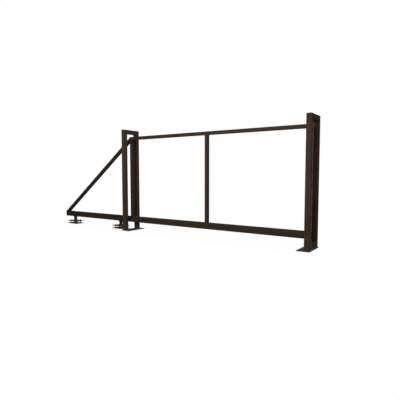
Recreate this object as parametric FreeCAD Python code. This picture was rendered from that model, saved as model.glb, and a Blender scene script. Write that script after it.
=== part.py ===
import FreeCAD, Part
import math
import os

# Cantilever sliding driveway gate, in millimetres.
# X runs along the gate towards the catch portal, Y runs across it and Z is up.
# The origin is the middle of the underside of the guide portal's base plate.

# Gateway and portals
OPENING = 3600.0
POST_WIDTH = 80.0
POST_WALL = 3.0
POST_GAP = 250.0
CROSSBAR_GAP = 52.0

# Base plates of the portals
BASE_THICKNESS = 10.0
BASE_OUTER_EDGE = 10.0
BASE_OPENING_EDGE = 110.0
BASE_SIDE_EDGE = 20.0
ANCHOR_HOLE_RADIUS = 9.0
ANCHOR_SPACING = 170.0

# Leaf
LEAF_HEIGHT = 1700.0
GROUND_CLEARANCE = 158.0
CATCH_ENTRY = 8.0
GUIDE_ENTRY = 27.0
TAIL_LENGTH = 2065.0
FRAME_TUBE = 60.0
FRAME_WALL = 3.0
BRACE_INSET = 10.0
CAP_THICKNESS = 4.0

# Roller rail under the leaf
RAIL_WIDTH = 60.0
RAIL_HEIGHT = 55.0
RAIL_WALL = 3.0
RAIL_SLOT = 22.0

# Plates and studs that carry the roller carriages
LEAD_CARRIAGE_SETBACK = 260.0
TAIL_CARRIAGE_INSET = 290.0
PLATE_LENGTH = 320.0
PLATE_WIDTH = 190.0
PLATE_THICKNESS = 10.0
PLATE_GAP = 42.0
STUD_RADIUS = 8.0
STUD_SPACING_X = 190.0
STUD_SPACING_Y = 120.0
STUD_END = 8.0
STUD_HOLE_CLEARANCE = 0.5
NUT_WIDTH = 24.0
NUT_HEIGHT = 13.0

# Roller carriages
FOOT_LENGTH = 120.0
FOOT_WIDTH = 100.0
FOOT_THICKNESS = 10.0
PEDESTAL_LENGTH = 45.0
PEDESTAL_WIDTH = 48.0
PEDESTAL_TOP_GAP = 10.0
PIVOT_DEPTH = 25.0
PIVOT_RADIUS = 8.0
PIVOT_END = 4.0
TRUCK_THICKNESS = 12.0
TRUCK_RIM = 10.0
SKIRT_LENGTH = 112.0
SKIRT_DROP = 22.0
AXLES = 3
AXLE_RADIUS = 6.0
ROLLER_WIDTH = 14.0
ROLLER_BETWEEN = 12.0
SIDE_PLAY = 1.0
RUNNING_CLEARANCE = 0.3
PIN_CLEARANCE = 0.2

# Places that follow from the sizes
portal_depth = POST_GAP + 2 * POST_WIDTH
base_length = BASE_OUTER_EDGE + POST_WIDTH + BASE_OPENING_EDGE
guide_outer_x = BASE_OUTER_EDGE - base_length / 2
guide_opening_x = guide_outer_x + POST_WIDTH
catch_opening_x = guide_opening_x + OPENING
lead_x = catch_opening_x + CATCH_ENTRY
leaf_tail_x = guide_opening_x - GUIDE_ENTRY
rail_tail_x = leaf_tail_x - TAIL_LENGTH
leaf_length = lead_x - leaf_tail_x
rail_length = lead_x - rail_tail_x
leaf_top_z = GROUND_CLEARANCE + LEAF_HEIGHT
portal_height = leaf_top_z + CROSSBAR_GAP + POST_WIDTH
bottom_tube_z = GROUND_CLEARANCE + RAIL_HEIGHT
beam_top_z = bottom_tube_z + FRAME_TUBE
axle_z = GROUND_CLEARANCE + RAIL_HEIGHT / 2
roller_radius = RAIL_HEIGHT / 2 - RAIL_WALL - RUNNING_CLEARANCE
axle_spacing = 2 * roller_radius + ROLLER_BETWEEN

ALONG = FreeCAD.Vector(1, 0, 0)
ACROSS = FreeCAD.Vector(0, 1, 0)
UP = FreeCAD.Vector(0, 0, 1)


def block(length, width, height, x, y, z):
    """A box centred on x and y that stands on z."""
    return Part.makeBox(length, width, height, FreeCAD.Vector(x - length / 2, y - width / 2, z))


def bar(length, width, height):
    """A square-edged bar along X from the origin, centred on Y and Z."""
    return Part.makeBox(length, width, height, FreeCAD.Vector(0, -width / 2, -height / 2))


def tube(length, width, height, wall):
    """A cold-formed tube along X, bent tight, with an outer corner radius of one wall."""
    outside = bar(length, width, height)
    long_edges = [edge for edge in outside.Edges if edge.tangentAt(0).cross(ALONG).Length < 0.5]
    outside = outside.makeFillet(wall, long_edges)
    return outside.cut(bar(length, width - 2 * wall, height - 2 * wall))


def laid(shape, start, direction):
    """The shape with its X axis turned to a direction and its origin moved to a start."""
    shape.Placement = FreeCAD.Placement(start, FreeCAD.Rotation(ALONG, direction))
    return shape


def trimmed(shape, point, outward):
    """The shape without all that lies on the outward side of a plane through a point."""
    reach = 2 * rail_length
    waste = block(reach, reach, reach, 0, 0, 0)
    waste.Placement = FreeCAD.Placement(point, FreeCAD.Rotation(UP, outward))
    return shape.cut(waste)


def cylinder(radius, length, middle, direction):
    """A round bar with its middle at a point."""
    return Part.makeCylinder(radius, length, middle - direction * (length / 2), direction)


def base_plate(opening_x, outer):
    """Plate under both posts of a portal, with two anchor holes between them and two towards the opening."""
    plate_x = opening_x + outer * (POST_WIDTH + BASE_OUTER_EDGE - BASE_OPENING_EDGE) / 2
    plate = block(base_length, portal_depth + 2 * BASE_SIDE_EDGE, BASE_THICKNESS, plate_x, 0, 0)
    for hole_x in (opening_x + outer * POST_WIDTH / 2, opening_x - outer * BASE_OPENING_EDGE / 2):
        for side in (-1, 1):
            foot = FreeCAD.Vector(hole_x, side * ANCHOR_SPACING / 2, 0)
            plate = plate.cut(Part.makeCylinder(ANCHOR_HOLE_RADIUS, BASE_THICKNESS, foot))
    return plate


def portal(name, opening_x, outer):
    """Two posts joined by a crossbar at mitred corners; outer is the side of X away from the opening."""
    post_x = opening_x + outer * POST_WIDTH / 2
    crossbar = tube(portal_depth, POST_WIDTH, POST_WIDTH, POST_WALL)
    bar_start = FreeCAD.Vector(post_x, -portal_depth / 2, portal_height - POST_WIDTH / 2)
    crossbar = laid(crossbar, bar_start, ACROSS)
    pieces = {name + "_base_plate": base_plate(opening_x, outer)}
    for post_name, side in (("_front_post", -1), ("_rear_post", 1)):
        foot = FreeCAD.Vector(post_x, side * (portal_depth - POST_WIDTH) / 2, BASE_THICKNESS)
        post = tube(portal_height - BASE_THICKNESS, POST_WIDTH, POST_WIDTH, POST_WALL)
        top_corner = FreeCAD.Vector(post_x, side * portal_depth / 2, portal_height)
        mitre = FreeCAD.Vector(0, -side, 1)
        pieces[name + post_name] = trimmed(laid(post, foot, UP), top_corner, mitre)
        crossbar = trimmed(crossbar, top_corner, mitre * -1)
    pieces[name + "_crossbar"] = crossbar
    return pieces


def frame_tube(length, start, direction):
    """A length of the leaf's square tube."""
    return laid(tube(length, FRAME_TUBE, FRAME_TUBE, FRAME_WALL), start, direction)


def stile(outer_x, inward):
    """Upright at one end of the leaf, from the bottom tube to its mitre with the top tube."""
    foot = FreeCAD.Vector(outer_x + inward * FRAME_TUBE / 2, 0, beam_top_z)
    upright = frame_tube(leaf_top_z - beam_top_z, foot, UP)
    top_corner = FreeCAD.Vector(outer_x, 0, leaf_top_z)
    return trimmed(upright, top_corner, FreeCAD.Vector(inward, 0, 1))


def middle_stile():
    """Upright half-way along the leaf, between the bottom tube and the top tube."""
    foot = FreeCAD.Vector((leaf_tail_x + lead_x) / 2, 0, beam_top_z)
    return frame_tube(leaf_top_z - FRAME_TUBE - beam_top_z, foot, UP)


def top_tube():
    """Tube along the top of the leaf, mitred to the end stiles."""
    start = FreeCAD.Vector(leaf_tail_x, 0, leaf_top_z - FRAME_TUBE / 2)
    top = frame_tube(leaf_length, start, ALONG)
    top = trimmed(top, FreeCAD.Vector(leaf_tail_x, 0, leaf_top_z), FreeCAD.Vector(-1, 0, -1))
    return trimmed(top, FreeCAD.Vector(lead_x, 0, leaf_top_z), FreeCAD.Vector(1, 0, -1))


def bottom_tube():
    """Tube that lies on the roller rail for its whole length, between the end caps."""
    start = FreeCAD.Vector(rail_tail_x + CAP_THICKNESS, 0, bottom_tube_z + FRAME_TUBE / 2)
    return frame_tube(rail_length - 2 * CAP_THICKNESS, start, ALONG)


def roller_rail():
    """Roll-formed rail of C section, open along its underside, with a lip on each side of the slot."""
    length = rail_length - 2 * CAP_THICKNESS
    start = FreeCAD.Vector(rail_tail_x + CAP_THICKNESS, 0, axle_z)
    rail = laid(tube(length, RAIL_WIDTH, RAIL_HEIGHT, RAIL_WALL), start, ALONG)
    slot = block(length, RAIL_SLOT, RAIL_WALL, start.x + length / 2, 0, GROUND_CLEARANCE)
    return rail.cut(slot)


def tail_brace():
    """Slanted tube from the tail of the bottom tube up to the top of the tail stile."""
    low = FreeCAD.Vector(rail_tail_x + BRACE_INSET, 0, beam_top_z)
    high = FreeCAD.Vector(leaf_tail_x, 0, leaf_top_z - BRACE_INSET)
    slope = (high - low).normalize()
    below = ACROSS.cross(slope)
    spare = 2 * FRAME_TUBE
    start = low + below * (FRAME_TUBE / 2) - slope * spare
    brace = frame_tube((high - low).Length + 2 * spare, start, slope)
    brace = trimmed(brace, low, UP * -1)
    return trimmed(brace, high, ALONG)


def end_cap(outer_x, inward):
    """Plate that closes the ends of the bottom tube and the rail."""
    width = max(FRAME_TUBE, RAIL_WIDTH)
    middle_x = outer_x + inward * CAP_THICKNESS / 2
    return block(CAP_THICKNESS, width, RAIL_HEIGHT + FRAME_TUBE, middle_x, 0, GROUND_CLEARANCE)


def leaf():
    """The welded frame that slides."""
    return {
        "roller_rail": roller_rail(),
        "bottom_tube": bottom_tube(),
        "top_tube": top_tube(),
        "tail_stile": stile(leaf_tail_x, 1),
        "middle_stile": middle_stile(),
        "lead_stile": stile(lead_x, -1),
        "tail_brace": tail_brace(),
        "tail_end_cap": end_cap(rail_tail_x, 1),
        "lead_end_cap": end_cap(lead_x, -1),
    }


def levelling_stud(foot, length, seat_z):
    """A stud with the hexagon nut, run down its thread, that the upper plate sits on at its seat height."""
    corner_radius = NUT_WIDTH / math.sqrt(3)
    corners = []
    for corner in range(7):
        turn = math.radians(60 * corner)
        away = FreeCAD.Vector(math.cos(turn), math.sin(turn), 0)
        corners.append(FreeCAD.Vector(foot.x, foot.y, seat_z - NUT_HEIGHT) + away * corner_radius)
    nut = Part.Face(Part.makePolygon(corners)).extrude(UP * NUT_HEIGHT)
    return Part.makeCylinder(STUD_RADIUS, length, foot).fuse(nut)


def pedestal(carriage_x, foot_z, pivot):
    """Clevis that carries the truck: two cheeks on one block."""
    top_z = pivot.z + PIVOT_DEPTH
    body = block(PEDESTAL_LENGTH, PEDESTAL_WIDTH, top_z - foot_z, carriage_x, 0, foot_z)
    slot_floor = pivot.z - PIVOT_RADIUS - TRUCK_RIM - SIDE_PLAY
    slot_width = TRUCK_THICKNESS + 2 * SIDE_PLAY
    slot = block(PEDESTAL_LENGTH, slot_width, top_z - slot_floor, carriage_x, 0, slot_floor)
    bore = cylinder(PIVOT_RADIUS + PIN_CLEARANCE, PEDESTAL_WIDTH, pivot, ACROSS)
    return body.cut(slot).cut(bore)


def truck_plate(pivot, axle_points):
    """Flat-cut plate: a strip in the rail for the axles, a skirt through its slot and a neck to the pivot."""
    strip_half_height = AXLE_RADIUS + TRUCK_RIM
    strip_half_length = axle_points[-1].x - pivot.x + strip_half_height
    neck_half_length = PIVOT_RADIUS + TRUCK_RIM
    skirt_z = GROUND_CLEARANCE - SKIRT_DROP
    half_outline = [
        (neck_half_length, pivot.z),
        (neck_half_length, skirt_z),
        (SKIRT_LENGTH / 2, skirt_z),
        (SKIRT_LENGTH / 2, axle_z - strip_half_height),
        (strip_half_length, axle_z - strip_half_height),
        (strip_half_length, axle_z + strip_half_height),
    ]
    outline = half_outline + [(-x, z) for x, z in reversed(half_outline)]
    corners = [FreeCAD.Vector(pivot.x + x, -TRUCK_THICKNESS / 2, z) for x, z in outline]
    plate = Part.Face(Part.makePolygon(corners + corners[:1])).extrude(ACROSS * TRUCK_THICKNESS)
    plate = plate.fuse(cylinder(neck_half_length, TRUCK_THICKNESS, pivot, ACROSS)).removeSplitter()
    plate = plate.cut(cylinder(PIVOT_RADIUS + PIN_CLEARANCE, TRUCK_THICKNESS, pivot, ACROSS))
    for point in axle_points:
        plate = plate.cut(cylinder(AXLE_RADIUS + PIN_CLEARANCE, TRUCK_THICKNESS, point, ACROSS))
    return plate


def roller_set(middle):
    """An axle that turns in the truck plate, with a roller pressed on each end."""
    inner_y = TRUCK_THICKNESS / 2 + SIDE_PLAY
    axle = cylinder(AXLE_RADIUS, 2 * (inner_y + ROLLER_WIDTH), middle, ACROSS)
    offset = ACROSS * (inner_y + ROLLER_WIDTH / 2)
    centres = (middle - offset, middle + offset)
    rollers = [cylinder(roller_radius, ROLLER_WIDTH, centre, ACROSS) for centre in centres]
    return axle.multiFuse(rollers).removeSplitter()


def carriage(name, carriage_x, turned_parts):
    """A roller carriage on its two plates; its studs, pivot pin and roller sets join the turned parts."""
    upper_z = PLATE_THICKNESS + PLATE_GAP
    foot_z = upper_z + PLATE_THICKNESS
    pedestal_z = foot_z + FOOT_THICKNESS
    pivot_z = GROUND_CLEARANCE - PEDESTAL_TOP_GAP - PIVOT_DEPTH
    pivot = FreeCAD.Vector(carriage_x, 0, pivot_z)
    upper_plate = block(PLATE_LENGTH, PLATE_WIDTH, PLATE_THICKNESS, carriage_x, 0, upper_z)
    stud_length = PLATE_GAP + PLATE_THICKNESS + NUT_HEIGHT + STUD_END
    for end in (-1, 1):
        for side in (-1, 1):
            stud_x = carriage_x + end * STUD_SPACING_X / 2
            stud_y = side * STUD_SPACING_Y / 2
            foot = FreeCAD.Vector(stud_x, stud_y, PLATE_THICKNESS)
            hole = Part.makeCylinder(STUD_RADIUS + STUD_HOLE_CLEARANCE, stud_length, foot)
            upper_plate = upper_plate.cut(hole)
            turned_parts["levelling_studs"].append(levelling_stud(foot, stud_length, upper_z))
    pin_length = PEDESTAL_WIDTH + 2 * PIVOT_END
    turned_parts["pivot_pins"].append(cylinder(PIVOT_RADIUS, pin_length, pivot, ACROSS))
    axle_points = []
    for number in range(AXLES):
        axle_x = carriage_x + (number - (AXLES - 1) / 2) * axle_spacing
        axle_points.append(FreeCAD.Vector(axle_x, 0, axle_z))
    turned_parts["roller_sets"].extend(roller_set(point) for point in axle_points)
    return {
        name + "_lower_plate": block(PLATE_LENGTH, PLATE_WIDTH, PLATE_THICKNESS, carriage_x, 0, 0),
        name + "_upper_plate": upper_plate,
        name + "_foot": block(FOOT_LENGTH, FOOT_WIDTH, FOOT_THICKNESS, carriage_x, 0, foot_z),
        name + "_pedestal": pedestal(carriage_x, pedestal_z, pivot),
        name + "_truck": truck_plate(pivot, axle_points),
    }


turned_parts = {"levelling_studs": [], "pivot_pins": [], "roller_sets": []}
nodes = {}
nodes.update(portal("guide", guide_opening_x, -1))
nodes.update(portal("catch", catch_opening_x, 1))
nodes.update(leaf())
nodes.update(carriage("lead_carriage", guide_outer_x - LEAD_CARRIAGE_SETBACK, turned_parts))
nodes.update(carriage("tail_carriage", rail_tail_x + TAIL_CARRIAGE_INSET, turned_parts))
nodes.update({name: Part.makeCompound(solids) for name, solids in turned_parts.items()})

os.makedirs("parts", exist_ok=True)
for node_name, shape in nodes.items():
    shape.exportStep("parts/" + node_name + ".step")
    print(node_name, len(shape.Solids), shape.isValid(), round(shape.Volume))
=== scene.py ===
import math

import bmesh
import bpy
from mathutils import Matrix, Vector


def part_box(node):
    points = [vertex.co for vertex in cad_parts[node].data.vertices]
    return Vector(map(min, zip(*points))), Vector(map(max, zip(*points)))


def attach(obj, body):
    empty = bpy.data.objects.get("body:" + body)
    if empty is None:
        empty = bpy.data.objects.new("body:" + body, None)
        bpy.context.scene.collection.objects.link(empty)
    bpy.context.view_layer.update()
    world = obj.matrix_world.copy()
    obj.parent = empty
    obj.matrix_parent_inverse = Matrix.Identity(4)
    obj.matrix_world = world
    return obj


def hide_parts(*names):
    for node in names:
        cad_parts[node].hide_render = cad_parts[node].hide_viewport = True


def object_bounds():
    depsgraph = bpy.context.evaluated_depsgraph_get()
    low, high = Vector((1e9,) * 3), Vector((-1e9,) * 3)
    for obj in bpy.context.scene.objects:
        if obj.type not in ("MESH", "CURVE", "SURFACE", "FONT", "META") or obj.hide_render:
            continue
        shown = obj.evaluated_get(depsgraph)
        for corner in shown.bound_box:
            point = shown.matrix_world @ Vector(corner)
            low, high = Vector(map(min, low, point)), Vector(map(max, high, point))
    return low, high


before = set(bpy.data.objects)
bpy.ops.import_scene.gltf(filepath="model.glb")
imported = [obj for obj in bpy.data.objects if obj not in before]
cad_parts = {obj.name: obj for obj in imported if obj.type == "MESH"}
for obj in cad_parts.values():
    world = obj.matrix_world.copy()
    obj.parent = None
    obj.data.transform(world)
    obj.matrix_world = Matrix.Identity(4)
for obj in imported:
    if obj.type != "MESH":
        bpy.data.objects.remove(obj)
cad_low, cad_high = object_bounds()
bpy.context.scene.view_settings.view_transform = "Standard"


# Posts, crossbars and base plates of the two portals: 80 mm square steel tube and 10 mm plate,
# mitred and welded, then blasted and powder coated in one dark brown coat.
# The coat is matt, with a fine grain, a slight orange peel and a little dust near the ground. Its colour
# also carries painted shade near the ground and at the top, and its faces turned up are lightened by dust
# and by painted light from above.

PORTAL_PIECES = ("base_plate", "front_post", "rear_post", "crossbar")
PORTAL_BROWN = (0.0575, 0.0370, 0.0260, 1.0)
# Dust colour; on faces turned up it also stands for painted light from above.
DUST_AND_LIGHT_BROWN = (0.115, 0.098, 0.082, 1.0)
DUST_REACH = 0.30
# Painted shade: the coat darkens over this reach below the top of the gate.
TOP_REACH = 0.15
COAT_DRIFT = 0.16
# Painted shade: the coats are darker towards the ground, below this height, down to this tone.
GROUND_SHADE_REACH = 1.3
GROUND_SHADE_TONE = 0.78
EDGE_WIDTH = 0.003
POLISHED_TONE = 1.9
GRAIN_SCALE = 1100.0
PEEL_SCALE = 260.0
PEEL_SHARE = 0.6


def place(tree, kind, values, **settings):
    """Adds a node to a tree, with its settings, and fills its inputs with values or with other sockets."""
    node = tree.nodes.new(kind)
    for name, value in settings.items():
        setattr(node, name, value)
    for key, value in values.items():
        if isinstance(value, bpy.types.NodeSocket):
            tree.links.new(value, node.inputs[key])
        else:
            node.inputs[key].default_value = value
    return node


def new_group(name, kind, inputs, outputs):
    """An empty node group with named sockets; gives its tree, input node and output node."""
    tree = bpy.data.node_groups.new(name, kind)
    for label, socket in inputs:
        tree.interface.new_socket(label, in_out="INPUT", socket_type=socket)
    for label, socket in outputs:
        tree.interface.new_socket(label, in_out="OUTPUT", socket_type=socket)
    return tree, tree.nodes.new("NodeGroupInput"), tree.nodes.new("NodeGroupOutput")


def math_node(tree, operation, first, second=0.0):
    """The result of one sum on two values or sockets."""
    return place(tree, "ShaderNodeMath", {0: first, 1: second}, operation=operation).outputs[0]


def coat_grain_group():
    """Fine grain and orange peel of a baked powder coat, as a height and a roughness."""
    tree, given, made = new_group(
        "coat grain", "ShaderNodeTree",
        [("Grain Scale", "NodeSocketFloat"), ("Peel Scale", "NodeSocketFloat"),
         ("Least Roughness", "NodeSocketFloat"), ("Most Roughness", "NodeSocketFloat")],
        [("Height", "NodeSocketFloat"), ("Roughness", "NodeSocketFloat")])
    surface_point = tree.nodes.new("ShaderNodeTexCoord").outputs["Object"]
    grain = place(tree, "ShaderNodeTexNoise", {
        "Vector": surface_point, "Scale": given.outputs["Grain Scale"], "Detail": 3.0})
    peel = place(tree, "ShaderNodeTexNoise", {
        "Vector": surface_point, "Scale": given.outputs["Peel Scale"], "Detail": 1.0})
    fine = math_node(tree, "MULTIPLY", grain.outputs["Fac"], 1 - PEEL_SHARE)
    coarse = math_node(tree, "MULTIPLY", peel.outputs["Fac"], PEEL_SHARE)
    height = math_node(tree, "ADD", coarse, fine)
    cloud = place(tree, "ShaderNodeTexNoise", {"Vector": surface_point, "Scale": 9.0, "Detail": 4.0})
    rough = place(tree, "ShaderNodeMapRange", {
        "Value": cloud.outputs["Fac"], "From Min": 0.3, "From Max": 0.7,
        "To Min": given.outputs["Least Roughness"], "To Max": given.outputs["Most Roughness"]})
    tree.links.new(height, made.inputs["Height"])
    tree.links.new(rough.outputs["Result"], made.inputs["Roughness"])
    return tree


def coat_drift_and_shade_group():
    """Slow change of tone over a coat, from film thickness, with painted shade.

    The tone drifts at random from film thickness. The coat is also painted darker towards the ground, near
    the top and towards the tail end, as painted shade.
    """
    tree, given, made = new_group(
        "coat drift and painted shade", "ShaderNodeTree",
        [("Color", "NodeSocketColor"), ("Drift", "NodeSocketFloat"),
         ("Ground Shade Reach", "NodeSocketFloat"), ("Ground Shade Tone", "NodeSocketFloat"),
         ("Shade Start", "NodeSocketFloat"), ("Shade End", "NodeSocketFloat"),
         ("Shade Tone", "NodeSocketFloat"), ("Top Start", "NodeSocketFloat"),
         ("Top End", "NodeSocketFloat"), ("Top Tone", "NodeSocketFloat")],
        [("Color", "NodeSocketColor")])
    surface_point = tree.nodes.new("ShaderNodeTexCoord").outputs["Object"]
    broad = place(tree, "ShaderNodeTexNoise", {"Vector": surface_point, "Scale": 1.7, "Detail": 5.0})
    mottle = place(tree, "ShaderNodeTexNoise", {"Vector": surface_point, "Scale": 45.0, "Detail": 3.0})
    both = math_node(tree, "ADD", broad.outputs["Fac"], mottle.outputs["Fac"])
    centred = math_node(tree, "SUBTRACT", both, 1.0)
    swing = math_node(tree, "MULTIPLY", centred, given.outputs["Drift"])
    where = place(tree, "ShaderNodeSeparateXYZ", {0: surface_point})
    # Painted shade: darker towards the ground.
    ground_shade = place(tree, "ShaderNodeMapRange", {
        "Value": where.outputs["Z"], "From Min": 0.0, "From Max": given.outputs["Ground Shade Reach"],
        "To Min": given.outputs["Ground Shade Tone"], "To Max": 1.0}, interpolation_type="SMOOTHSTEP")
    # Painted shade: darker towards the tail end of the gate.
    shade = place(tree, "ShaderNodeMapRange", {
        "Value": where.outputs["X"], "From Min": given.outputs["Shade Start"],
        "From Max": given.outputs["Shade End"], "To Min": given.outputs["Shade Tone"], "To Max": 1.0},
        interpolation_type="SMOOTHSTEP")
    # Painted shade: darker near the top.
    top = place(tree, "ShaderNodeMapRange", {
        "Value": where.outputs["Z"], "From Min": given.outputs["Top Start"],
        "From Max": given.outputs["Top End"], "To Min": 1.0, "To Max": given.outputs["Top Tone"]},
        interpolation_type="SMOOTHSTEP")
    drift_and_ground_shade = math_node(tree, "ADD", swing, ground_shade.outputs["Result"])
    shaded = math_node(tree, "MULTIPLY", drift_and_ground_shade, shade.outputs["Result"])
    factor = math_node(tree, "MULTIPLY", shaded, top.outputs["Result"])
    toned = place(tree, "ShaderNodeVectorMath", {0: given.outputs["Color"], "Scale": factor},
                  operation="SCALE")
    tree.links.new(toned.outputs["Vector"], made.inputs["Color"])
    return tree


def rubbed_edge_group():
    """Mask of the outer edges, where handling and wind-blown grit polish a coat thin."""
    tree, given, made = new_group(
        "rubbed edge", "ShaderNodeTree",
        [("Width", "NodeSocketFloat"), ("Amount", "NodeSocketFloat")],
        [("Mask", "NodeSocketFloat")])
    softened = place(tree, "ShaderNodeBevel", {"Radius": given.outputs["Width"]}, samples=4)
    facing = tree.nodes.new("ShaderNodeNewGeometry")
    alike = place(tree, "ShaderNodeVectorMath", {0: softened.outputs["Normal"], 1: facing.outputs["Normal"]},
                  operation="DOT_PRODUCT")
    edge = place(tree, "ShaderNodeMapRange", {"Value": alike.outputs["Value"], "From Min": 0.995,
                                              "From Max": 0.85, "To Min": 0.0, "To Max": 1.0})
    surface_point = tree.nodes.new("ShaderNodeTexCoord").outputs["Object"]
    patches = place(tree, "ShaderNodeTexNoise", {"Vector": surface_point, "Scale": 60.0, "Detail": 5.0})
    broken = place(tree, "ShaderNodeMapRange", {"Value": patches.outputs["Fac"], "From Min": 0.4,
                                                "From Max": 0.65, "To Min": 0.15, "To Max": 1.0})
    worn = math_node(tree, "MULTIPLY", edge.outputs["Result"], broken.outputs["Result"])
    mask = math_node(tree, "MULTIPLY", worn, given.outputs["Amount"])
    tree.links.new(mask, made.inputs["Mask"])
    return tree


def dust_and_top_light_group():
    """Mask of the dust that splashes onto what stands near the ground, and of faces turned up,
    which are lightened by dust and by painted light from above.
    """
    tree, given, made = new_group(
        "dust and painted top light", "ShaderNodeTree",
        [("Reach", "NodeSocketFloat"), ("Amount", "NodeSocketFloat")],
        [("Mask", "NodeSocketFloat")])
    surface_point = tree.nodes.new("ShaderNodeTexCoord").outputs["Object"]
    height = place(tree, "ShaderNodeSeparateXYZ", {0: surface_point}).outputs["Z"]
    low = place(tree, "ShaderNodeMapRange", {"Value": height, "From Min": given.outputs["Reach"],
                                             "From Max": 0.0, "To Min": 0.0, "To Max": 0.4})
    facing = tree.nodes.new("ShaderNodeNewGeometry").outputs["Normal"]
    upward = place(tree, "ShaderNodeSeparateXYZ", {0: facing}).outputs["Z"]
    # Faces turned up are lightened: partly dust, partly painted light from above.
    lit_dusty_ledge = place(tree, "ShaderNodeMapRange", {"Value": upward, "From Min": 0.5, "From Max": 1.0,
                                               "To Min": 0.0, "To Max": 1.6})
    dust_and_lit_tops = math_node(tree, "ADD", low.outputs["Result"], lit_dusty_ledge.outputs["Result"])
    specks = place(tree, "ShaderNodeTexNoise", {"Vector": surface_point, "Scale": 55.0, "Detail": 8.0})
    uneven = place(tree, "ShaderNodeMapRange", {"Value": specks.outputs["Fac"], "From Min": 0.35,
                                                "From Max": 0.7, "To Min": 0.25, "To Max": 1.0})
    spread = math_node(tree, "MULTIPLY", dust_and_lit_tops, uneven.outputs["Result"])
    mask = math_node(tree, "MULTIPLY", spread, given.outputs["Amount"])
    tree.links.new(mask, made.inputs["Mask"])
    return tree


coat_grain = coat_grain_group()
coat_drift_and_shade = coat_drift_and_shade_group()
rubbed_edge = rubbed_edge_group()
dust_and_top_light = dust_and_top_light_group()


# Where a Mix node keeps its colour sockets, which share their names with its other sockets.
MIX_FACTOR, MIX_FIRST_COLOUR, MIX_SECOND_COLOUR, MIXED_COLOUR = 0, 6, 7, 2


def mix_colours(tree, factor, first, second):
    """The colour between two colours or sockets."""
    mix = place(tree, "ShaderNodeMix", {
        MIX_FACTOR: factor, MIX_FIRST_COLOUR: first, MIX_SECOND_COLOUR: second}, data_type="RGBA")
    return mix.outputs[MIXED_COLOUR]


def powder_coat(name, brown, least_roughness, most_roughness, wear, dust, tail_shade_tone=1.0, top_shade_tone=1.0):
    """A coat of one brown over steel, with its own wear and dust, and painted shade at the ground, tail and
    top.
    """
    material = bpy.data.materials.new(name)
    material.use_nodes = True
    tree = material.node_tree
    shader = tree.nodes["Principled BSDF"]
    drift = place(tree, "ShaderNodeGroup", {
        "Color": brown, "Drift": COAT_DRIFT, "Ground Shade Reach": GROUND_SHADE_REACH, "Ground Shade Tone": GROUND_SHADE_TONE,
        "Shade Start": cad_low[0], "Shade End": cad_high[0], "Shade Tone": tail_shade_tone,
        "Top Start": cad_high[2] - TOP_REACH, "Top End": cad_high[2], "Top Tone": top_shade_tone},
        node_tree=coat_drift_and_shade)
    edge = place(tree, "ShaderNodeGroup", {"Width": EDGE_WIDTH, "Amount": wear}, node_tree=rubbed_edge)
    dust_and_lit_tops = place(tree, "ShaderNodeGroup", {"Reach": DUST_REACH, "Amount": dust}, node_tree=dust_and_top_light)
    grain = place(tree, "ShaderNodeGroup", {
        "Grain Scale": GRAIN_SCALE, "Peel Scale": PEEL_SCALE, "Least Roughness": least_roughness,
        "Most Roughness": most_roughness}, node_tree=coat_grain)
    polished = tuple(POLISHED_TONE * part for part in brown[:3]) + (1.0,)
    rubbed = mix_colours(tree, edge.outputs["Mask"], drift.outputs["Color"], polished)
    dusted_and_lit = mix_colours(tree, dust_and_lit_tops.outputs["Mask"], rubbed, DUST_AND_LIGHT_BROWN)
    bump = place(tree, "ShaderNodeBump", {
        "Strength": 0.6, "Distance": 0.0008, "Height": grain.outputs["Height"]})
    tree.links.new(dusted_and_lit, shader.inputs["Base Color"])
    tree.links.new(grain.outputs["Roughness"], shader.inputs["Roughness"])
    tree.links.new(bump.outputs["Normal"], shader.inputs["Normal"])
    shader.inputs["Specular IOR Level"].default_value = 0.0
    return material


# The portal coat carries painted shade, darker at the top of the portals.
portal_coat = powder_coat("portal_brown_coat", PORTAL_BROWN, least_roughness=0.62, most_roughness=0.78,
                          wear=0.50, dust=0.45, top_shade_tone=0.82)
for portal in ("guide", "catch"):
    for piece in PORTAL_PIECES:
        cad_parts[f"{portal}_{piece}"].material_slots[0].material = portal_coat


# The leaf: a frame of 60 mm square tube with one middle stile and a slanted tail brace.
# Its tubes are cut, welded and coated in the same brown, in one piece with the rail below.

LEAF_TUBES = ("bottom_tube", "top_tube", "tail_stile", "middle_stile", "lead_stile", "tail_brace",
              "tail_end_cap", "lead_end_cap")
LEAF_BROWN = (0.0545, 0.0366, 0.0268, 1.0)

# The leaf's coat carries painted shade, darker towards its tail end.
leaf_coat = powder_coat("leaf_brown_coat", LEAF_BROWN, least_roughness=0.62, most_roughness=0.78,
                        wear=0.50, dust=0.15, tail_shade_tone=0.66)
for piece in LEAF_TUBES:
    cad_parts[piece].material_slots[0].material = leaf_coat


# The roller rail under the leaf: a roll-formed C section of 3 mm strip, open along its underside.
# Its brown is a little darker than the tubes', and like the leaf it carries painted shade towards the tail.

RAIL_BROWN = (0.0477, 0.0333, 0.0250, 1.0)

rail_coat = powder_coat("rail_brown_coat", RAIL_BROWN, least_roughness=0.58, most_roughness=0.72,
                        wear=0.50, dust=0.10, tail_shade_tone=0.82)
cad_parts["roller_rail"].material_slots[0].material = rail_coat


# Plates, feet, pedestals and trucks of the two roller carriages: flame-cut plate and a milled clevis.
# They are coated with the gate, and their edges are rubbed more by tools and grit.

CARRIAGE_PIECES = ("lower_plate", "upper_plate", "foot", "pedestal", "truck")
CARRIAGE_BROWN = (0.0350, 0.0240, 0.0178, 1.0)

carriage_coat = powder_coat("carriage_brown_coat", CARRIAGE_BROWN, least_roughness=0.60,
                            most_roughness=0.76, wear=0.60, dust=0.20)
for carriage in ("lead_carriage", "tail_carriage"):
    for piece in CARRIAGE_PIECES:
        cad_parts[f"{carriage}_{piece}"].material_slots[0].material = carriage_coat


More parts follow.
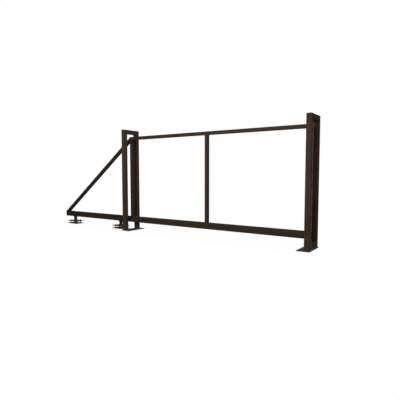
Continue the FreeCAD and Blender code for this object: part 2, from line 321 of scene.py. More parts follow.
# Welds of the portals: a fillet round the foot of each post, a fillet in each inner corner under the
# crossbar, and the mitres on the faces, which are ground almost flush before the coat.

POST_CORNER = 0.003
FOOT_BEAD = 0.0045
CORNER_BEAD = 0.0032
DRESSED_BEAD = 0.0016
DRESSED_SINK = 0.0010
RIPPLED = 0.13
GROUND_SMOOTH = 0.02
STEPS_PER_RIPPLE = 3
CORNER_POINTS = 4


def weld_tree():
    """Sweeps a rippled bead along each run of a carrier mesh, as thick as the run's own attribute says."""
    tree, given, made = new_group(
        "weld bead", "GeometryNodeTree",
        [("Runs", "NodeSocketGeometry"), ("Ripple Pitch", "NodeSocketFloat"), ("Sides", "NodeSocketInt"),
         ("Unevenness", "NodeSocketFloat"), ("Coat", "NodeSocketMaterial")],
        [("Beads", "NodeSocketGeometry")])
    runs = place(tree, "GeometryNodeMeshToCurve", {"Mesh": given.outputs["Runs"]})
    step = math_node(tree, "DIVIDE", given.outputs["Ripple Pitch"], STEPS_PER_RIPPLE)
    even = place(tree, "GeometryNodeResampleCurve", {"Curve": runs.outputs["Curve"], "Length": step},
                 mode="LENGTH")
    travelled = tree.nodes.new("GeometryNodeSplineParameter").outputs["Length"]
    turns = math_node(tree, "DIVIDE", travelled, given.outputs["Ripple Pitch"])
    angle = math_node(tree, "MULTIPLY", turns, 2 * math.pi)
    wave = math_node(tree, "SINE", angle)
    depth = place(tree, "GeometryNodeInputNamedAttribute", {"Name": "ripple_depth"}).outputs["Attribute"]
    ripple = math_node(tree, "MULTIPLY", wave, depth)
    where = tree.nodes.new("GeometryNodeInputPosition").outputs["Position"]
    noise = place(tree, "ShaderNodeTexNoise", {"Vector": where, "Scale": 130.0, "Detail": 2.0})
    centred = math_node(tree, "SUBTRACT", noise.outputs["Fac"], 0.5)
    uneven = math_node(tree, "MULTIPLY", centred, given.outputs["Unevenness"])
    swell = math_node(tree, "ADD", math_node(tree, "ADD", ripple, uneven), 1.0)
    radius = place(tree, "GeometryNodeInputNamedAttribute", {"Name": "bead_radius"}).outputs["Attribute"]
    thickness = math_node(tree, "MULTIPLY", radius, swell)
    section = place(tree, "GeometryNodeCurvePrimitiveCircle", {"Resolution": given.outputs["Sides"],
                                                               "Radius": 1.0})
    swept = place(tree, "GeometryNodeCurveToMesh", {
        "Curve": even.outputs["Curve"], "Profile Curve": section.outputs["Curve"], "Scale": thickness,
        "Fill Caps": True})
    smooth = place(tree, "GeometryNodeSetShadeSmooth", {"Geometry": swept.outputs["Mesh"]})
    solid = place(tree, "GeometryNodeRealizeInstances", {"Geometry": smooth.outputs["Geometry"]})
    coated = place(tree, "GeometryNodeSetMaterial", {"Geometry": solid.outputs["Geometry"],
                                                     "Material": given.outputs["Coat"]})
    tree.links.new(coated.outputs["Geometry"], made.inputs["Beads"])
    return tree


def carrier_object(name, points, edges=()):
    """A mesh of bare points and edges for a node tree to work on."""
    mesh = bpy.data.meshes.new(name)
    mesh.from_pydata([tuple(point) for point in points], list(edges), [])
    carrier = bpy.data.objects.new(name, mesh)
    bpy.context.scene.collection.objects.link(carrier)
    return carrier


def grown(name, carrier, tree, values):
    """Runs a node tree on its carrier and gives the result as a plain mesh object at the origin."""
    modifier = carrier.modifiers.new(tree.name, "NODES")
    modifier.node_group = tree
    for socket in tree.interface.items_tree:
        if socket.in_out == "INPUT" and socket.name in values:
            modifier[socket.identifier] = values[socket.name]
    depsgraph = bpy.context.evaluated_depsgraph_get()
    mesh = bpy.data.meshes.new_from_object(carrier.evaluated_get(depsgraph), depsgraph=depsgraph)
    mesh.name = name
    carrier.modifiers.remove(modifier)
    bpy.data.objects.remove(carrier)
    piece = bpy.data.objects.new(name, mesh)
    bpy.context.scene.collection.objects.link(piece)
    return piece


def rounded_outline(low_x, high_x, low_y, high_y, corner):
    """Points round a rectangle with round corners, as pairs."""
    middles = ((high_x - corner, high_y - corner, 0), (low_x + corner, high_y - corner, 90),
               (low_x + corner, low_y + corner, 180), (high_x - corner, low_y + corner, 270))
    outline = []
    for middle_x, middle_y, start in middles:
        for part in range(CORNER_POINTS):
            turn = math.radians(start + 90 * part / (CORNER_POINTS - 1))
            outline.append((middle_x + corner * math.cos(turn), middle_y + corner * math.sin(turn)))
    return outline


def weld_carrier(name, runs):
    """A carrier for weld runs, each given as its points, bead radius, ripple depth and whether it closes."""
    points, edges, radii, ripples = [], [], [], []
    for run, radius, ripple, closed in runs:
        first = len(points)
        points.extend(run)
        radii.extend([radius] * len(run))
        ripples.extend([ripple] * len(run))
        edges.extend((index, index + 1) for index in range(first, len(points) - 1))
        if closed:
            edges.append((len(points) - 1, first))
    carrier = carrier_object(name, points, edges)
    for label, values in (("bead_radius", radii), ("ripple_depth", ripples)):
        carrier.data.attributes.new(label, "FLOAT", "POINT").data.foreach_set("value", values)
    return carrier


weld_bead = weld_tree()
WELD_VALUES = {"Ripple Pitch": 0.0032, "Sides": 8, "Unevenness": 0.3}

portal_runs = []
for portal in ("guide", "catch"):
    bar_low, bar_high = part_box(f"{portal}_crossbar")
    for post in ("front_post", "rear_post"):
        low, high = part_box(f"{portal}_{post}")
        foot = rounded_outline(low.x, high.x, low.y, high.y, POST_CORNER)
        portal_runs.append(([(x, y, low.z) for x, y in foot], FOOT_BEAD, RIPPLED, True))
        inner_y, outer_y = (high.y, low.y) if post == "front_post" else (low.y, high.y)
        corner = [(x, inner_y, bar_low.z) for x in (low.x + POST_CORNER, high.x - POST_CORNER)]
        portal_runs.append((corner, CORNER_BEAD, RIPPLED, False))
        inset = math.copysign(POST_CORNER, outer_y - inner_y)
        for face_x in (low.x + DRESSED_SINK, high.x - DRESSED_SINK):
            mitre = [(face_x, inner_y + inset, bar_low.z + POST_CORNER),
                     (face_x, outer_y - inset, bar_high.z - POST_CORNER)]
            portal_runs.append((mitre, DRESSED_BEAD, GROUND_SMOOTH, False))

portal_welds = grown("portal_welds", weld_carrier("portal_weld_runs", portal_runs), weld_bead,
                     {**WELD_VALUES, "Coat": portal_coat})
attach(portal_welds, "base")


# Welds of the leaf: fillets round the feet of the stiles and the ends of the brace, ground mitres at
# the top corners, seams at the end caps, and stitches that hold the rail to the bottom tube.

TUBE_CORNER = 0.003
SEAT_BEAD = 0.0032
SEAT_INSET = 0.0016
CAP_BEAD = 0.0020
CAP_SINK = 0.0010
STITCH_BEAD = 0.0030
STITCH_SINK = 0.0024
STITCH_LENGTH = 0.050
STITCH_SPACING = 0.300

tube_low, tube_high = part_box("bottom_tube")
top_low, top_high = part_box("top_tube")
tail_low, tail_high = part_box("tail_stile")
lead_low, lead_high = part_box("lead_stile")
mid_low, mid_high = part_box("middle_stile")
brace_low, brace_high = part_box("tail_brace")
seat_y = tube_high.y - SEAT_INSET


def corner_drop(y):
    """How far the round edge of the tube below has fallen away at a distance from its middle."""
    past = max(0.0, abs(y) - (tube_high.y - TUBE_CORNER))
    return TUBE_CORNER - math.sqrt(TUBE_CORNER ** 2 - past ** 2)


def seat_run(low_along, high_along):
    """Outline of a tube's end on the tube that it is welded to, as pairs along and across."""
    return rounded_outline(low_along, high_along, -seat_y, seat_y, TUBE_CORNER)


leaf_runs = []
for low_x, high_x in ((tail_low.x, tail_high.x), (mid_low.x, mid_high.x), (lead_low.x, lead_high.x)):
    foot = [(x, y, tube_high.z - corner_drop(y)) for x, y in seat_run(low_x, high_x)]
    leaf_runs.append((foot, SEAT_BEAD, RIPPLED, True))
head = [(x, y, top_low.z + corner_drop(y)) for x, y in seat_run(mid_low.x, mid_high.x)]
leaf_runs.append((head, SEAT_BEAD, RIPPLED, True))

slope = math.atan2(brace_high.z - brace_low.z, brace_high.x - brace_low.x)
tube_width = tube_high.y - tube_low.y
brace_foot = seat_run(brace_low.x, brace_low.x + tube_width / math.sin(slope))
leaf_runs.append(([(x, y, tube_high.z - corner_drop(y)) for x, y in brace_foot], SEAT_BEAD, RIPPLED, True))
brace_head = seat_run(brace_high.z - tube_width / math.cos(slope), brace_high.z)
leaf_runs.append(([(tail_low.x + corner_drop(y), y, z) for z, y in brace_head], SEAT_BEAD, RIPPLED, True))

for outer_x, inner_x in ((tail_low.x, tail_high.x), (lead_high.x, lead_low.x)):
    inset = math.copysign(TUBE_CORNER, outer_x - inner_x)
    for face_y in (top_low.y + DRESSED_SINK, top_high.y - DRESSED_SINK):
        mitre = [(inner_x + inset, face_y, top_low.z + TUBE_CORNER),
                 (outer_x - inset, face_y, top_high.z - TUBE_CORNER)]
        leaf_runs.append((mitre, DRESSED_BEAD, GROUND_SMOOTH, False))
    corner = [(inner_x, y, top_low.z) for y in (top_low.y + TUBE_CORNER, top_high.y - TUBE_CORNER)]
    leaf_runs.append((corner, SEAT_BEAD, RIPPLED, False))

rail_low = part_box("roller_rail")[0]
seam_y = tube_high.y - CAP_SINK
for cap_x in (tube_low.x, tube_high.x):
    seam = [(cap_x, -seam_y, rail_low.z + TUBE_CORNER), (cap_x, -seam_y, tube_high.z - TUBE_CORNER),
            (cap_x, -seam_y + TUBE_CORNER, tube_high.z - CAP_SINK),
            (cap_x, seam_y - TUBE_CORNER, tube_high.z - CAP_SINK),
            (cap_x, seam_y, tube_high.z - TUBE_CORNER), (cap_x, seam_y, rail_low.z + TUBE_CORNER)]
    leaf_runs.append((seam, CAP_BEAD, RIPPLED, False))

stitches = int((tube_high.x - tube_low.x) / STITCH_SPACING)
first_stitch = (tube_low.x + tube_high.x - (stitches - 1) * STITCH_SPACING) / 2
for number in range(stitches):
    middle_x = first_stitch + number * STITCH_SPACING
    ends = (middle_x - STITCH_LENGTH / 2, middle_x + STITCH_LENGTH / 2)
    for side in (-1, 1):
        stitch = [(x, side * (tube_high.y - STITCH_SINK), tube_low.z) for x in ends]
        leaf_runs.append((stitch, STITCH_BEAD, RIPPLED, False))

leaf_welds = grown("leaf_welds", weld_carrier("leaf_weld_runs", leaf_runs), weld_bead,
                   {**WELD_VALUES, "Coat": leaf_coat})
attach(leaf_welds, "leaf")


# Welds of the carriages: one steel fillet round each pedestal, laid by hand where it stands on its foot.
# They are brushed clean and lie under the same coat as the plates.

PEDESTAL_CORNER = 0.0015
PEDESTAL_BEAD = 0.0042

carriage_runs = []
for carriage in ("lead_carriage", "tail_carriage"):
    low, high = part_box(f"{carriage}_pedestal")
    foot = rounded_outline(low.x, high.x, low.y, high.y, PEDESTAL_CORNER)
    carriage_runs.append(([(x, y, low.z) for x, y in foot], PEDESTAL_BEAD, RIPPLED, True))

carriage_welds = grown("carriage_welds", weld_carrier("carriage_weld_runs", carriage_runs), weld_bead,
                       {**WELD_VALUES, "Coat": carriage_coat})
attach(carriage_welds, "base")


# Levelling studs: M16 rods with a cut thread, blackened and oiled, that carry each upper plate.
# A nut locks each stud to the lower plate, the upper plate sits on a second nut, and a washer and a
# third nut lock it from above.

STUD_RADIUS = 0.008
STUD_SPACING = (0.190, 0.120)
THREAD_PITCH = 0.002
THREAD_DEPTH = 0.0012
NUT_FLATS = 0.024
NUT_HEIGHT = 0.013
WASHER_RADIUS = 0.015
WASHER_THICKNESS = 0.003
OILED_BLACK = (0.026, 0.022, 0.019, 1.0)
OIL_BROWN = (0.018, 0.013, 0.009, 1.0)
RUBBED_TONE = 3.0
RUBBED_WIDTH = 0.0012
NUT_SIDES = 24
WASHER_SIDES = 36
CHAMFER_CIRCLE = 0.95
CHAMFER_ANGLE = 30
BROKEN_SHARE = 0.2


def oiled_steel(name, steel, least_roughness, most_roughness):
    """Dark fastener steel with a brown film of old oil that gathers in patches."""
    material = bpy.data.materials.new(name)
    material.use_nodes = True
    tree = material.node_tree
    shader = tree.nodes["Principled BSDF"]
    surface_point = tree.nodes.new("ShaderNodeTexCoord").outputs["Object"]
    film = place(tree, "ShaderNodeTexNoise", {"Vector": surface_point, "Scale": 120.0, "Detail": 6.0})
    patches = place(tree, "ShaderNodeMapRange", {
        "Value": film.outputs["Fac"], "From Min": 0.42, "From Max": 0.62})
    edge = place(tree, "ShaderNodeGroup", {"Width": RUBBED_WIDTH, "Amount": 0.7}, node_tree=rubbed_edge)
    bright = tuple(RUBBED_TONE * part for part in steel[:3]) + (1.0,)
    filmed = mix_colours(tree, patches.outputs["Result"], steel, OIL_BROWN)
    rubbed = mix_colours(tree, edge.outputs["Mask"], filmed, bright)
    rough = place(tree, "ShaderNodeMapRange", {
        "Value": film.outputs["Fac"], "From Min": 0.35, "From Max": 0.65,
        "To Min": most_roughness, "To Max": least_roughness})
    grain = place(tree, "ShaderNodeTexNoise", {"Vector": surface_point, "Scale": 900.0, "Detail": 2.0})
    bump = place(tree, "ShaderNodeBump", {
        "Strength": 0.15, "Distance": 0.0003, "Height": grain.outputs["Fac"]})
    tree.links.new(rubbed, shader.inputs["Base Color"])
    tree.links.new(rough.outputs["Result"], shader.inputs["Roughness"])
    tree.links.new(bump.outputs["Normal"], shader.inputs["Normal"])
    shader.inputs["Metallic"].default_value = 0.85
    shader.inputs["Specular IOR Level"].default_value = 0.1
    return material


def thread_tree():
    """A rod with a helical thread on each point of a carrier."""
    tree, given, made = new_group(
        "threaded rod", "GeometryNodeTree",
        [("Feet", "NodeSocketGeometry"), ("Length", "NodeSocketFloat"), ("Radius", "NodeSocketFloat"),
         ("Pitch", "NodeSocketFloat"), ("Depth", "NodeSocketFloat"), ("Steel", "NodeSocketMaterial")],
        [("Rods", "NodeSocketGeometry")])
    root = math_node(tree, "SUBTRACT", given.outputs["Radius"], given.outputs["Depth"])
    pitches = math_node(tree, "DIVIDE", given.outputs["Length"], given.outputs["Pitch"])
    turns = math_node(tree, "SUBTRACT", pitches, 1.0)
    rise = math_node(tree, "MULTIPLY", turns, given.outputs["Pitch"])
    helix = place(tree, "GeometryNodeCurveSpiral", {
        "Resolution": 18, "Rotations": turns, "Start Radius": root, "End Radius": root, "Height": rise})
    ridge = place(tree, "GeometryNodeCurvePrimitiveCircle", {
        "Resolution": 4, "Radius": given.outputs["Depth"]})
    thread = place(tree, "GeometryNodeCurveToMesh", {
        "Curve": helix.outputs["Curve"], "Profile Curve": ridge.outputs["Curve"], "Fill Caps": True})
    half_pitch = math_node(tree, "MULTIPLY", given.outputs["Pitch"], 0.5)
    start = place(tree, "ShaderNodeCombineXYZ", {"Z": half_pitch})
    raised = place(tree, "GeometryNodeTransform", {"Geometry": thread.outputs["Mesh"],
                                                   "Translation": start.outputs["Vector"]})
    core = place(tree, "GeometryNodeMeshCylinder", {
        "Vertices": 24, "Radius": root, "Depth": given.outputs["Length"]})
    half_length = math_node(tree, "MULTIPLY", given.outputs["Length"], 0.5)
    middle = place(tree, "ShaderNodeCombineXYZ", {"Z": half_length})
    stood = place(tree, "GeometryNodeTransform", {"Geometry": core.outputs["Mesh"],
                                                  "Translation": middle.outputs["Vector"]})
    rod = tree.nodes.new("GeometryNodeJoinGeometry")
    tree.links.new(raised.outputs["Geometry"], rod.inputs["Geometry"])
    tree.links.new(stood.outputs["Geometry"], rod.inputs["Geometry"])
    set_out = place(tree, "GeometryNodeInstanceOnPoints", {"Points": given.outputs["Feet"],
                                                           "Instance": rod.outputs["Geometry"]})
    solid = place(tree, "GeometryNodeRealizeInstances", {"Geometry": set_out.outputs["Instances"]})
    finished = place(tree, "GeometryNodeSetMaterial", {"Geometry": solid.outputs["Geometry"],
                                                       "Material": given.outputs["Steel"]})
    tree.links.new(finished.outputs["Geometry"], made.inputs["Rods"])
    return tree


# Where a Random Value node keeps its float sockets, which share their names with its other sockets.
RANDOM_MOST, RANDOM_RESULT = 3, 1


def fastener_tree():
    """The same small piece on each point of a carrier, turned a little differently each time."""
    tree, given, made = new_group(
        "set out fasteners", "GeometryNodeTree",
        [("Places", "NodeSocketGeometry"), ("Fastener", "NodeSocketObject"),
         ("Most Turn", "NodeSocketFloat"), ("Seed", "NodeSocketInt"), ("Steel", "NodeSocketMaterial")],
        [("Fasteners", "NodeSocketGeometry")])
    pattern = place(tree, "GeometryNodeObjectInfo", {"Object": given.outputs["Fastener"]})
    turn = place(tree, "FunctionNodeRandomValue", {
        "Seed": given.outputs["Seed"], RANDOM_MOST: given.outputs["Most Turn"]}, data_type="FLOAT")
    angles = place(tree, "ShaderNodeCombineXYZ", {"Z": turn.outputs[RANDOM_RESULT]})
    turned_by = place(tree, "FunctionNodeEulerToRotation", {"Euler": angles.outputs["Vector"]})
    set_out = place(tree, "GeometryNodeInstanceOnPoints", {
        "Points": given.outputs["Places"], "Instance": pattern.outputs["Geometry"],
        "Rotation": turned_by.outputs["Rotation"]})
    solid = place(tree, "GeometryNodeRealizeInstances", {"Geometry": set_out.outputs["Instances"]})
    finished = place(tree, "GeometryNodeSetMaterial", {"Geometry": solid.outputs["Geometry"],
                                                       "Material": given.outputs["Steel"]})
    tree.links.new(finished.outputs["Geometry"], made.inputs["Fasteners"])
    return tree


def turned_solid(mesh_build, profile, sides, flats=None, lift=0.0):
    """Adds a solid of rings about Z, each a radius and a height; flats trims the rings to a hexagon."""
    rings = []
    for radius, height in profile:
        ring = []
        for part in range(sides if radius > 0 else 1):
            turn = 2 * math.pi * part / sides
            reach = radius
            if flats is not None:
                off_flat = (turn + math.pi / 6) % (math.pi / 3) - math.pi / 6
                reach = min(radius, flats / 2 / math.cos(math.pi / 6 - abs(off_flat)))
            point = (reach * math.cos(turn), reach * math.sin(turn), height + lift)
            ring.append(mesh_build.verts.new(point))
        rings.append(ring)
    for below, above in zip(rings, rings[1:] + rings[:1]):
        if len(below) == 1 and len(above) == 1:
            continue
        for part in range(sides):
            corners = [below[part % len(below)], below[(part + 1) % len(below)],
                       above[(part + 1) % len(above)], above[part % len(above)]]
            distinct = list(dict.fromkeys(corners))
            mesh_build.faces.new(distinct)


def pattern_object(name, mesh_build):
    """The finished mesh of one small piece, as an object for a node tree to repeat."""
    bmesh.ops.recalc_face_normals(mesh_build, faces=mesh_build.faces)
    mesh = bpy.data.meshes.new(name)
    mesh_build.to_mesh(mesh)
    mesh_build.free()
    pattern = bpy.data.objects.new(name, mesh)
    bpy.context.scene.collection.objects.link(pattern)
    return pattern


def nut_profile(flats, height, bore):
    """Rings of a hexagon nut with a chamfer on both faces."""
    face_radius = CHAMFER_CIRCLE * flats / 2
    corner_radius = flats / math.sqrt(3)
    chamfer = (corner_radius - face_radius) * math.tan(math.radians(CHAMFER_ANGLE))
    between = (face_radius + corner_radius) / 2
    lower_half = [(bore, 0.0), (face_radius, 0.0), (between, chamfer / 2), (corner_radius, chamfer)]
    return lower_half + [(radius, height - rise) for radius, rise in reversed(lower_half)]


def washer_profile(radius, thickness, bore):
    """Rings of a pressed washer with a slightly broken upper edge."""
    broken = BROKEN_SHARE * thickness
    return [(bore, 0.0), (radius, 0.0), (radius, thickness - broken), (radius - broken, thickness),
            (bore, thickness)]


def joined(name, pieces, material):
    """Several plain pieces of one material as one object."""
    mesh_build = bmesh.new()
    for piece in pieces:
        mesh_build.from_mesh(piece.data)
    for face in mesh_build.faces:
        face.material_index = 0
    mesh = bpy.data.meshes.new(name)
    mesh_build.to_mesh(mesh)
    mesh_build.free()
    mesh.materials.append(material)
    for piece in pieces:
        bpy.data.objects.remove(piece)
    whole = bpy.data.objects.new(name, mesh)
    bpy.context.scene.collection.objects.link(whole)
    return whole


fastener_steel = oiled_steel("oiled_fastener_steel", OILED_BLACK, least_roughness=0.38,
                             most_roughness=0.60)
thread = thread_tree()
set_out_fasteners = fastener_tree()

stud_feet = []
for carriage in ("lead_carriage", "tail_carriage"):
    plate_low, plate_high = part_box(f"{carriage}_lower_plate")
    plate_x = (plate_low.x + plate_high.x) / 2
    for end in (-0.5, 0.5):
        for side in (-0.5, 0.5):
            foot_x = plate_x + end * STUD_SPACING[0]
            stud_feet.append(Vector((foot_x, side * STUD_SPACING[1], plate_high.z)))

studs_low, studs_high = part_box("levelling_studs")
rods = grown("stud_rods", carrier_object("stud_feet", stud_feet), thread,
             {"Length": studs_high.z - studs_low.z, "Radius": STUD_RADIUS, "Pitch": THREAD_PITCH,
              "Depth": THREAD_DEPTH, "Steel": fastener_steel})

nut_bore = STUD_RADIUS - THREAD_DEPTH
nut_rings = nut_profile(NUT_FLATS, NUT_HEIGHT, nut_bore)
nut_build = bmesh.new()
turned_solid(nut_build, nut_rings, NUT_SIDES, flats=NUT_FLATS)
nut = pattern_object("stud_nut", nut_build)
lock_build = bmesh.new()
turned_solid(lock_build, washer_profile(WASHER_RADIUS, WASHER_THICKNESS, nut_bore), WASHER_SIDES)
turned_solid(lock_build, nut_rings, NUT_SIDES, flats=NUT_FLATS, lift=WASHER_THICKNESS)
lock = pattern_object("stud_lock_nut", lock_build)

upper_low, upper_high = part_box("lead_carriage_upper_plate")
nut_places = stud_feet + [Vector((foot.x, foot.y, upper_low.z - NUT_HEIGHT)) for foot in stud_feet]
lock_places = [Vector((foot.x, foot.y, upper_high.z)) for foot in stud_feet]
levelling_nuts = grown("levelling_nuts", carrier_object("nut_places", nut_places), set_out_fasteners,
                       {"Fastener": nut, "Most Turn": 1.0, "Seed": 4, "Steel": fastener_steel})
lock_nuts = grown("lock_nuts", carrier_object("lock_places", lock_places), set_out_fasteners,
                  {"Fastener": lock, "Most Turn": 1.0, "Seed": 9, "Steel": fastener_steel})
bpy.data.objects.remove(nut)
bpy.data.objects.remove(lock)

threaded_studs = joined("threaded_studs", [rods, levelling_nuts, lock_nuts], fastener_steel)
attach(threaded_studs, "base")
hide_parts("levelling_studs")


# Bolts of the carriage feet: four M10 hexagon bolts with pressed washers hold each foot to its upper
# plate. They are of the same dark oiled steel as the studs.

FOOT_BOLT_FLATS = 0.017
FOOT_BOLT_HEAD = 0.0064
FOOT_WASHER_RADIUS = 0.010
FOOT_WASHER_THICKNESS = 0.002
FOOT_BOLT_INSET = 0.012
FOOT_WASHER_SIDES = 30

bolt_build = bmesh.new()
turned_solid(bolt_build, washer_profile(FOOT_WASHER_RADIUS, FOOT_WASHER_THICKNESS, 0.0), FOOT_WASHER_SIDES)
turned_solid(bolt_build, nut_profile(FOOT_BOLT_FLATS, FOOT_BOLT_HEAD, 0.0), NUT_SIDES,
             flats=FOOT_BOLT_FLATS, lift=FOOT_WASHER_THICKNESS)
bolt = pattern_object("foot_bolt", bolt_build)

bolt_places = []
for carriage in ("lead_carriage", "tail_carriage"):
    low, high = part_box(f"{carriage}_foot")
    for x in (low.x + FOOT_BOLT_INSET, high.x - FOOT_BOLT_INSET):
        for y in (low.y + FOOT_BOLT_INSET, high.y - FOOT_BOLT_INSET):
            bolt_places.append((x, y, high.z))
foot_bolts = grown("foot_bolts", carrier_object("bolt_places", bolt_places), set_out_fasteners,
                   {"Fastener": bolt, "Most Turn": 1.0, "Seed": 2, "Steel": fastener_steel})
bpy.data.objects.remove(bolt)
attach(foot_bolts, "base")


# Pivot pins that the trucks rock on: turned steel bars through the cheeks of the pedestals,
# each held by a spring ring pressed on at both ends.

RING_INNER = 0.0076
RING_OUTER = 0.0120
RING_THICKNESS = 0.0016
RING_SIDES = 32
ACROSS_THE_GATE = Matrix.Rotation(math.pi / 2, 3, "X")

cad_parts["pivot_pins"].material_slots[0].material = fastener_steel
ring_build = bmesh.new()
turned_solid(ring_build, [(RING_INNER, 0.0), (RING_OUTER, 0.0), (RING_OUTER, RING_THICKNESS),
                          (RING_INNER, RING_THICKNESS)], RING_SIDES)
bmesh.ops.rotate(ring_build, verts=ring_build.verts, cent=(0, 0, 0), matrix=ACROSS_THE_GATE)
ring = pattern_object("pin_ring", ring_build)

pin_low, pin_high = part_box("pivot_pins")
pin_z = (pin_low.z + pin_high.z) / 2
ring_places = []
for carriage in ("lead_carriage", "tail_carriage"):
    low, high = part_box(f"{carriage}_pedestal")
    pin_x = (low.x + high.x) / 2
    ring_places.append((pin_x, low.y, pin_z))
    ring_places.append((pin_x, high.y + RING_THICKNESS, pin_z))
pin_rings = grown("pin_rings", carrier_object("ring_places", ring_places), set_out_fasteners,
                  {"Fastener": ring, "Most Turn": 0.0, "Seed": 1, "Steel": fastener_steel})
bpy.data.objects.remove(ring)
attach(pin_rings, "base")


# Roller sets inside the rail: a ground axle with a turned steel roller pressed on each end.
# The treads are rolled bright, and each roller has a chamfered rim and a sealed hub.

AXLE_RADIUS = 0.006
ROLLER_WIDTH = 0.014
RIM_CHAMFER = 0.0012
HUB_RADIUS = 0.016
HUB_RECESS = 0.0010
SEAL_RADIUS = 0.0105
ROLLER_SETS_PER_CARRIAGE = 3
ROLLER_SIDES = 48
LATHE_MARKS = (40.0, 2600.0, 40.0)
TREAD_STEEL = (0.20, 0.19, 0.18, 1.0)
GREASE_BROWN = (0.060, 0.048, 0.034, 1.0)


def rolled_steel(name, steel):
    """Turned steel with fine lathe marks round the axis and a thin smear of grease."""
    material = bpy.data.materials.new(name)
    material.use_nodes = True
    tree = material.node_tree
    shader = tree.nodes["Principled BSDF"]
    surface_point = tree.nodes.new("ShaderNodeTexCoord").outputs["Object"]
    drawn_out = place(tree, "ShaderNodeMapping", {"Vector": surface_point, "Scale": LATHE_MARKS})
    marks = place(tree, "ShaderNodeTexNoise", {
        "Vector": drawn_out.outputs["Vector"], "Scale": 1.0, "Detail": 2.0})
    smear = place(tree, "ShaderNodeTexNoise", {"Vector": surface_point, "Scale": 90.0, "Detail": 5.0})
    greased = place(tree, "ShaderNodeMapRange", {
        "Value": smear.outputs["Fac"], "From Min": 0.48, "From Max": 0.68})
    colour = mix_colours(tree, greased.outputs["Result"], steel, GREASE_BROWN)
    rough = place(tree, "ShaderNodeMapRange", {
        "Value": marks.outputs["Fac"], "To Min": 0.24, "To Max": 0.46})
    bump = place(tree, "ShaderNodeBump", {
        "Strength": 0.2, "Distance": 0.0002, "Height": marks.outputs["Fac"]})
    tree.links.new(colour, shader.inputs["Base Color"])
    tree.links.new(rough.outputs["Result"], shader.inputs["Roughness"])
    tree.links.new(bump.outputs["Normal"], shader.inputs["Normal"])
    shader.inputs["Metallic"].default_value = 1.0
    return material


sets_low, sets_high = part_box("roller_sets")
roller_radius = (sets_high.z - sets_low.z) / 2
reach = sets_high.y
inner = reach - ROLLER_WIDTH
rim_radius = roller_radius - RIM_CHAMFER
half_profile = [(AXLE_RADIUS, inner), (rim_radius, inner), (roller_radius, inner + RIM_CHAMFER),
                (roller_radius, reach - RIM_CHAMFER), (rim_radius, reach), (HUB_RADIUS, reach),
                (HUB_RADIUS, reach - HUB_RECESS), (SEAL_RADIUS, reach - HUB_RECESS),
                (SEAL_RADIUS, reach), (AXLE_RADIUS, reach), (0.0, reach)]
profile = [(radius, -height) for radius, height in reversed(half_profile)] + half_profile
set_build = bmesh.new()
turned_solid(set_build, profile, ROLLER_SIDES)
bmesh.ops.rotate(set_build, verts=set_build.verts, cent=(0, 0, 0), matrix=ACROSS_THE_GATE)
roller_pattern = pattern_object("roller_set", set_build)

set_places = []
lead_foot_low, lead_foot_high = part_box("lead_carriage_foot")
half_row = sets_high.x - roller_radius - (lead_foot_low.x + lead_foot_high.x) / 2
for carriage in ("lead_carriage", "tail_carriage"):
    low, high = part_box(f"{carriage}_foot")
    middle_x = (low.x + high.x) / 2
    for number in range(ROLLER_SETS_PER_CARRIAGE):
        offset = half_row * (2 * number / (ROLLER_SETS_PER_CARRIAGE - 1) - 1)
        set_places.append((middle_x + offset, 0.0, (sets_low.z + sets_high.z) / 2))
roller_steel = rolled_steel("rolled_tread_steel", TREAD_STEEL)
turned_rollers = grown("turned_rollers", carrier_object("set_places", set_places), set_out_fasteners,
                       {"Fastener": roller_pattern, "Most Turn": 0.0, "Seed": 1, "Steel": roller_steel})
bpy.data.objects.remove(roller_pattern)
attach(turned_rollers, "base")
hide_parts("roller_sets")


# Studio: a pale seamless floor under soft light, with a broad lamp in front of the gate and weak lights
# at the catch end and behind. The floor and the sky show white to the camera and in reflections, and
# the floor keeps a soft shadow.

FLOOR_REACH = 60.0
FLOOR_GREY = (0.30, 0.30, 0.30, 1.0)
WHITE = (1.0, 1.0, 1.0, 1.0)
SHADOW_SHARE = 0.10
SHADOW_MIDDLE = (0.8, 0.1, 0.0)
SHADOW_SPREAD = (3.6, 1.0, 1.0)
SKY_LIGHT = 0.48


def seen_white(tree):
    """One where a camera, glossy or transmission ray looks."""
    rays = tree.nodes.new("ShaderNodeLightPath")
    first = math_node(tree, "MAXIMUM", rays.outputs["Is Camera Ray"], rays.outputs["Is Glossy Ray"])
    return math_node(tree, "MAXIMUM", first, rays.outputs["Is Transmission Ray"])


floor_mesh = bpy.data.meshes.new("studio_floor")
floor_corners = [(FLOOR_REACH * x, FLOOR_REACH * y, 0.0) for x, y in ((-1, -1), (1, -1), (1, 1), (-1, 1))]
floor_mesh.from_pydata(floor_corners, [], [(0, 1, 2, 3)])
floor = bpy.data.objects.new("studio_floor", floor_mesh)
bpy.context.scene.collection.objects.link(floor)
floor_paint = bpy.data.materials.new("studio_floor")
floor_paint.use_nodes = True
tree = floor_paint.node_tree
tree.nodes.remove(tree.nodes["Principled BSDF"])
matt = place(tree, "ShaderNodeBsdfDiffuse", {"Color": FLOOR_GREY})
pale = place(tree, "ShaderNodeBsdfDiffuse", {"Color": WHITE})
glow = place(tree, "ShaderNodeEmission", {"Color": WHITE, "Strength": 1.0})
surface_point = tree.nodes.new("ShaderNodeTexCoord").outputs["Object"]
from_gate = place(tree, "ShaderNodeVectorMath", {0: surface_point, 1: SHADOW_MIDDLE}, operation="SUBTRACT")
squeezed = place(tree, "ShaderNodeVectorMath", {0: from_gate.outputs["Vector"], 1: SHADOW_SPREAD},
                 operation="DIVIDE")
far = place(tree, "ShaderNodeVectorMath", {0: squeezed.outputs["Vector"]}, operation="LENGTH")
share = place(tree, "ShaderNodeMapRange", {
    "Value": far.outputs["Value"], "From Min": 0.1, "From Max": 1.5, "To Min": SHADOW_SHARE, "To Max": 0.0},
    interpolation_type="SMOOTHSTEP")
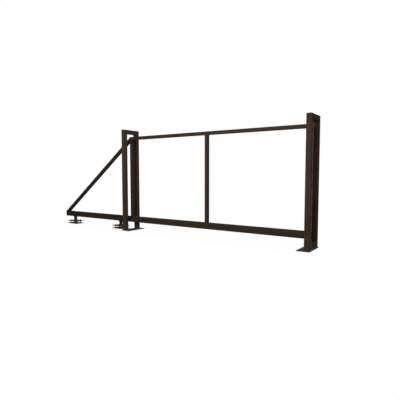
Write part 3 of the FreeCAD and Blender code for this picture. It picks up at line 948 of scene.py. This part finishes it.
shaded = place(tree, "ShaderNodeMixShader", {
    0: share.outputs["Result"], 1: glow.outputs[0], 2: pale.outputs[0]})
chosen = place(tree, "ShaderNodeMixShader", {0: seen_white(tree), 1: matt.outputs[0], 2: shaded.outputs[0]})
tree.links.new(chosen.outputs[0], tree.nodes["Material Output"].inputs["Surface"])
floor_mesh.materials.append(floor_paint)

sky = bpy.data.worlds.new("studio_sky")
sky.use_nodes = True
bpy.context.scene.world = sky
tree = sky.node_tree
soft = tree.nodes["Background"]
soft.inputs["Color"].default_value = WHITE
soft.inputs["Strength"].default_value = SKY_LIGHT
white = place(tree, "ShaderNodeBackground", {"Color": WHITE, "Strength": 1.0})
chosen = place(tree, "ShaderNodeMixShader", {0: seen_white(tree), 1: soft.outputs[0], 2: white.outputs[0]})
tree.links.new(chosen.outputs[0], tree.nodes["World Output"].inputs["Surface"])


def soft_lamp(name, place_at, aim, width, height, power):
    """A rectangular studio lamp turned towards a point."""
    lamp = bpy.data.lights.new(name, "AREA")
    lamp.shape = "RECTANGLE"
    lamp.size = width
    lamp.size_y = height
    lamp.energy = power
    holder = bpy.data.objects.new(name, lamp)
    holder.location = place_at
    holder.rotation_euler = (Vector(aim) - Vector(place_at)).to_track_quat("-Z", "Y").to_euler()
    bpy.context.scene.collection.objects.link(holder)


soft_lamp("front_lamp", place_at=(1.6, -6.5, 3.6), aim=(1.6, 0.0, 1.2), width=5.0, height=2.0, power=285.0)


def far_light(name, direction, spread, strength):
    """A weak light from far away, softened over a spread of degrees."""
    light = bpy.data.lights.new(name, "SUN")
    light.energy = strength
    light.angle = math.radians(spread)
    holder = bpy.data.objects.new(name, light)
    holder.rotation_euler = Vector(direction).to_track_quat("-Z", "Y").to_euler()
    bpy.context.scene.collection.objects.link(holder)


far_light("catch_end_light", direction=(-1.0, 0.05, -0.25), spread=40, strength=0.60)
far_light("rear_light", direction=(0.1, -1.0, -0.7), spread=50, strength=1.20)


# Camera at the photograph's own standpoint: at chest height in front of the catch end, turned left to
# look along the gate and slightly down.

CAMERA_PLACE = (5.3747, -5.5330, 1.1325)
CAMERA_DOWN = 4.012
CAMERA_LEFT = 34.059
CAMERA_LENS = 33.940

camera_data = bpy.data.cameras.new("photo_camera")
camera_data.lens = CAMERA_LENS
camera_data.sensor_width = 36.0
camera = bpy.data.objects.new("photo_camera", camera_data)
camera.location = CAMERA_PLACE
camera.rotation_euler = (math.radians(90 - CAMERA_DOWN), 0.0, math.radians(CAMERA_LEFT))
bpy.context.scene.collection.objects.link(camera)
bpy.context.scene.camera = camera
